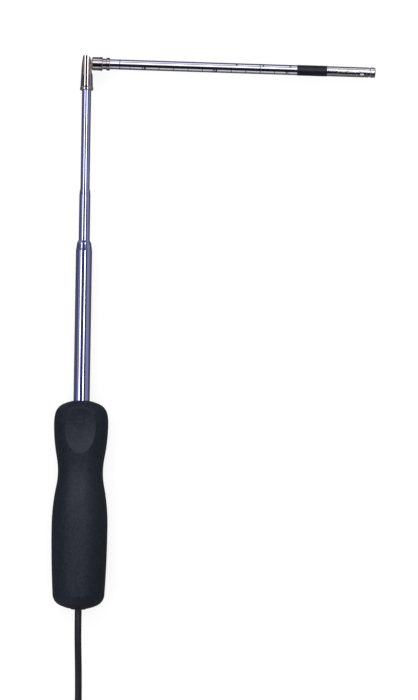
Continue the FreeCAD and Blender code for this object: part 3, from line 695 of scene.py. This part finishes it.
def armPlace(station):
    # the arm's own frame: X up through the tube, Y towards the handle side, Z along the arm
    up = (pivotAxis - armAxis * pivotAxis.dot(armAxis)).normalized()
    side = armAxis.cross(up)
    turn = Matrix((up, side, armAxis)).transposed().to_4x4()
    return Matrix.Translation(armStart + armAxis * station) @ turn


# depth scale printed on the arm, in centimetres from the sensor

depthScale = {
    "radius": 0.003512,
    "lineHeight": 0.00003,
    "tickWidth": 0.00042,
    "firstTick": 0.030,
    "tickSpacing": 0.010,
    "tickCount": 12,
    "tickStart": 20,  # degrees from the top of the tube, towards the handle
    "tickSweep": 62,
    "tickSteps": 20,
    "rings": [0.0228, 0.1200],
    "ringWidth": 0.0005,
    "ringSteps": 97,
    "lowNumbers": [("15", 0.0393), ("10", 0.0883), ("5", 0.1383)],
    "lowAngle": 42,
    "highNumbers": [("9", 0.1035), ("7", 0.1222), ("5", 0.1407)],
    "highAngle": -36,
    "numberHeight": 0.0034,
    "numberWeight": 0.045,  # share of the height that the strokes are thickened by
    "numberSlice": 0.0002,  # the numbers are cut this fine to follow the tube
    "numberSlices": 6,
}
nearlyRound = math.radians(359.9)
weldDistance = 1e-7


def wrapNumber(text, station, angle, settings):
    data = bpy.data.curves.new("number", "FONT")
    data.body = text
    data.size = settings["numberHeight"]
    data.align_x = "CENTER"
    data.align_y = "CENTER"
    data.offset = settings["numberHeight"] * settings["numberWeight"]
    data.extrude = settings["lineHeight"] / 2
    flat = bpy.data.objects.new("number", data)
    mesh = bpy.data.meshes.new_from_object(flat)
    bpy.data.objects.remove(flat)
    work = bmesh.new()
    work.from_mesh(mesh)
    bmesh.ops.remove_doubles(work, verts=work.verts, dist=weldDistance)
    for step in range(-settings["numberSlices"], settings["numberSlices"] + 1):
        everything = work.verts[:] + work.edges[:] + work.faces[:]
        level = (0, step * settings["numberSlice"], 0)
        bmesh.ops.bisect_plane(work, geom=everything, plane_co=level, plane_no=(0, 1, 0))
    for vert in work.verts:
        x, y, z = vert.co
        turn = math.radians(angle) - y / settings["radius"]
        reach = settings["radius"] + z
        vert.co = (reach * math.cos(turn), reach * math.sin(turn), x)
    work.transform(armPlace(station))
    work.to_mesh(mesh)
    work.free()
    return mesh


def addDepthScale(settings):
    ticks = {
        "Radius": settings["radius"], "Line Width": settings["tickWidth"], "Line Height": settings["lineHeight"],
        "Spacing": settings["tickSpacing"], "Count": settings["tickCount"], "Steps": settings["tickSteps"],
        "Start Angle": math.radians(settings["tickStart"]), "Sweep": math.radians(settings["tickSweep"]),
        "Material": finishes["printInk"],
    }
    made = [fromTree("scale_ticks", "roundLines", ticks, armPlace(settings["firstTick"]))]
    firstRing, lastRing = settings["rings"]
    rings = dict(ticks, Steps=settings["ringSteps"], Count=2, Spacing=lastRing - firstRing, Sweep=nearlyRound)
    rings["Line Width"] = settings["ringWidth"]
    made.append(fromTree("scale_rings", "roundLines", rings, armPlace(firstRing)))
    work = bmesh.new()
    for row in ("low", "high"):
        for text, station in settings[row + "Numbers"]:
            mesh = wrapNumber(text, station, settings[row + "Angle"], settings)
            work.from_mesh(mesh)
            bpy.data.meshes.remove(mesh)
    mesh = bpy.data.meshes.new("scale_numbers")
    work.to_mesh(mesh)
    work.free()
    mesh.materials.append(finishes["printInk"])
    numbers = bpy.data.objects.new("scale_numbers", mesh)
    bpy.context.scene.collection.objects.link(numbers)
    for obj in made + [numbers]:
        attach(obj, "arm")


addDepthScale(depthScale)
print("depth scale printed")


# knurled grips beside the hinge, and the heated winding in the sensor window

knurl = {
    "barrel": {"station": 0.0096, "radius": 0.00460, "count": 48, "length": 0.0021, "width": 0.00026,
               "height": 0.00022},
    "ring": {"station": 0.01465, "radius": 0.00430, "count": 40, "length": 0.0016, "width": 0.00028,
             "height": 0.00024},
}
for part, sizes in knurl.items():
    values = {
        "Radius": sizes["radius"], "Ridge Width": sizes["width"], "Ridge Height": sizes["height"],
        "Ridge Length": sizes["length"], "Count": sizes["count"], "Material": finishes["darkNickel"],
    }
    knurled = fromTree("knurl_" + part, "ridges", values, armPlace(sizes["station"]))
    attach(knurled, "arm")

winding = {
    "start": 0.18965,
    "pitch": 0.00018,
    "turns": 13,
    "turnSteps": 25,
    "wire": 0.00006,
    "offset": 0.0010,
    "rodRadius": 0.00015,
}


def addWinding(settings):
    values = {
        "Radius": settings["rodRadius"] + settings["wire"] / 2, "Line Width": settings["wire"],
        "Line Height": settings["wire"], "Spacing": settings["pitch"], "Count": settings["turns"],
        "Steps": settings["turnSteps"], "Start Angle": 0.0, "Sweep": nearlyRound, "Material": finishes["copperWire"],
    }
    place = armPlace(settings["start"]) @ Matrix.Translation((0, settings["offset"], 0))
    obj = fromTree("sensor_winding", "roundLines", values, place)
    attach(obj, "arm")


addWinding(winding)
print("knurls and winding made")


# connector: grooved boot and fluted body, turned about the cable's end

plug = {
    "start": plugStart,
    "bore": 0.00235,
    "bootLength": 0.026,
    "bootSmall": 0.0033,
    "bootLarge": 0.0059,
    "bootChamfer": 0.0003,
    "ringFirst": 0.0032,
    "ringPitch": 0.0031,
    "ringCount": 7,
    "ringWidth": 0.0015,
    "ringDepth": 0.0007,
    "ringSlope": 0.0002,
    "bodyLength": 0.020,
    "bodyRadius": 0.0075,
    "flutes": 20,
    "fluteDepth": 0.00045,
    "facets": 120,
    "sharpFrom": 35,  # degrees
}


def lathe(name, sections, settings, material):
    # sections are distance along, radius and flute depth; the first and last close the piece
    count = settings["facets"]
    corners, faces = [], []
    for distance, radius, depth in sections:
        for index in range(count):
            angle = 2 * math.pi * index / count
            wave = (0.5 - 0.5 * math.cos(angle * settings["flutes"])) ** 2
            reach = radius - depth * wave
            corners.append((distance, reach * math.sin(angle), reach * math.cos(angle)))
    for row in range(len(sections) - 1):
        for index in range(count):
            after = (index + 1) % count
            here, above = row * count, (row + 1) * count
            faces.append((here + index, here + after, above + after, above + index))
    mesh = bpy.data.meshes.new(name)
    mesh.from_pydata([Vector(corner) + Vector(settings["start"]) for corner in corners], [], faces)
    work = bmesh.new()
    work.from_mesh(mesh)
    bmesh.ops.remove_doubles(work, verts=work.verts, dist=weldDistance)
    bmesh.ops.recalc_face_normals(work, faces=work.faces)
    work.to_mesh(mesh)
    work.free()
    mesh.shade_smooth()
    mesh.set_sharp_from_angle(angle=math.radians(settings["sharpFrom"]))
    mesh.materials.append(material)
    obj = bpy.data.objects.new(name, mesh)
    bpy.context.scene.collection.objects.link(obj)
    return obj


def bootSections(settings):
    length, small, large = settings["bootLength"], settings["bootSmall"], settings["bootLarge"]
    chamfer, slope = settings["bootChamfer"], settings["ringSlope"]
    sections = [(length, settings["bore"], 0), (0, settings["bore"], 0), (0, small - chamfer, 0), (chamfer, small, 0)]
    for number in range(settings["ringCount"]):
        left = settings["ringFirst"] + number * settings["ringPitch"]
        right = left + settings["ringWidth"]
        for distance, drop in ((left, 0), (left + slope, 1), (right - slope, 1), (right, 0)):
            sections.append((distance, small + (large - small) * distance / length - drop * settings["ringDepth"], 0))
    return sections + [(length, large, 0), (length, settings["bore"], 0)]


def bodySections(settings):
    # chamfered ends, flutes between two plain collars, and a groove in the far collar
    start, end = settings["bootLength"], settings["bootLength"] + settings["bodyLength"]
    radius, depth = settings["bodyRadius"], settings["fluteDepth"]
    step = radius - 0.0004
    return [
        (start, 0, 0), (start, radius - 0.0009, 0), (start + 0.0003, step, 0), (start + 0.0009, radius, 0),
        (start + 0.0022, radius, 0), (start + 0.0030, radius, depth), (end - 0.0072, radius, depth),
        (end - 0.0064, radius, 0), (end - 0.0052, radius, 0), (end - 0.0049, step, 0),
        (end - 0.0042, step, 0), (end - 0.0039, radius, 0), (end - 0.0009, radius, 0),
        (end - 0.0003, step, 0), (end, radius - 0.0009, 0), (end, 0, 0),
    ]


boot = lathe("plug_boot", bootSections(plug), plug, finishes["guideRubber"])
plugBody = lathe("plug_body", bodySections(plug), plug, finishes["plugPlastic"])
for obj, node, slotName in ((boot, "connector_boot", "guide_rubber"), (plugBody, "connector_body", "plug_plastic")):
    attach(obj, "handle")
    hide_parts(node)
print("connector made")


# strap round the coil: one length of hook and loop that laps over its own end

strap = {
    "middle": (coilCentre[0] + cable["turnRadius"], coilCentre[1]),
    "halfWide": 0.0090,
    "halfHigh": 0.0092,
    "centreHeight": 0.0098,
    "corner": 0.0034,
    "cornerSteps": 12,
    "thickness": 0.0010,
    "width": 0.012,
    "overlap": 0.020,
    "threads": 0.00045,
    "segment": 0.0006,  # longest straight step along the strap
    "rampLength": 0.0060,  # over which it climbs onto its own end
    "rise": 1.04,  # thicknesses that it climbs
    "endRound": 0.003,
    "sharpFrom": 40,  # degrees
}


def strapPath(settings):
    wide, high, corner = settings["halfWide"], settings["halfHigh"], settings["corner"]
    outline = []
    for centreX, centreZ, begin in ((wide - corner, high - corner, 90), (wide - corner, corner - high, 0),
                                    (corner - wide, corner - high, -90), (corner - wide, high - corner, -180)):
        for step in range(settings["cornerSteps"] + 1):
            angle = math.radians(begin - step * 90 / settings["cornerSteps"])
            outline.append(Vector((centreX + corner * math.cos(angle), centreZ + corner * math.sin(angle))))
    return outline


def addStrap(settings):
    outline = strapPath(settings)
    loop = [Vector((0, settings["halfHigh"]))] + outline + [Vector((0, settings["halfHigh"]))] + outline
    total = sum((b - a).length for a, b in zip(outline, outline[1:] + outline[:1]))
    ends = total + settings["overlap"]
    places, run = [], 0.0
    for here, after in zip(loop, loop[1:]):
        steps = max(1, round((after - here).length / settings["segment"]))
        for step in range(steps):
            spot = here.lerp(after, step / steps)
            distance = run + (after - here).length * step / steps
            if distance <= ends:
                places.append((spot, distance))
        run += (after - here).length
    work = bmesh.new()
    uv = work.loops.layers.uv.new("strap")
    half, thick, ramp = settings["width"] / 2, settings["thickness"], settings["rampLength"]
    bend = settings["endRound"]
    rows = []
    for index, (spot, distance) in enumerate(places):
        before = places[max(index - 1, 0)][0]
        after = places[min(index + 1, len(places) - 1)][0]
        heading = (after - before).normalized()
        outward = Vector((-heading.y, heading.x))
        lap = min(max((distance - total + ramp) / ramp, 0), 1)
        lift = thick * settings["rise"] * lap * lap * (3 - 2 * lap)
        left = ends - distance
        narrow = half if left > bend else half - bend + math.sqrt(max(bend ** 2 - (bend - left) ** 2, 0))
        row = []
        for offset, side in ((-thick / 2, -1), (-thick / 2, 1), (thick / 2, 1), (thick / 2, -1)):
            point = spot + outward * (offset + lift)
            x = settings["middle"][0] + point.x
            z = settings["centreHeight"] + point.y
            row.append(work.verts.new((x, settings["middle"][1] + side * narrow, z)))
        rows.append((row, distance))
    for (row, distance), (nextRow, nextDistance) in zip(rows, rows[1:]):
        for index in range(4):
            after = (index + 1) % 4
            face = work.faces.new((row[index], row[after], nextRow[after], nextRow[index]))
            low = 0 if index in (0, 2) else 1
            for corner, (u, v) in zip(face.loops, ((0, distance), (1, distance), (1, nextDistance), (0, nextDistance))):
                width = u * settings["width"] if low == 0 else u * thick
                corner[uv].uv = (width / settings["threads"], v / settings["threads"])
    work.faces.new(reversed(rows[0][0]))
    work.faces.new(rows[-1][0])
    bmesh.ops.recalc_face_normals(work, faces=work.faces)
    mesh = bpy.data.meshes.new("coil_strap")
    work.to_mesh(mesh)
    work.free()
    mesh.shade_smooth()
    mesh.set_sharp_from_angle(angle=math.radians(settings["sharpFrom"]))
    mesh.materials.append(finishes["strapNylon"])
    obj = bpy.data.objects.new("coil_strap", mesh)
    bpy.context.scene.collection.objects.link(obj)
    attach(obj, "handle")
    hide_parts("coil_tie")
    return obj


strapPiece = addStrap(strap)
print("strap made")


# the cable takes its jacket and what is on it

cablePiece.data.materials.append(finishes["cableJacket"])
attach(cablePiece, "handle")
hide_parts("cable_lead", "cable_coil", "cable_tail")
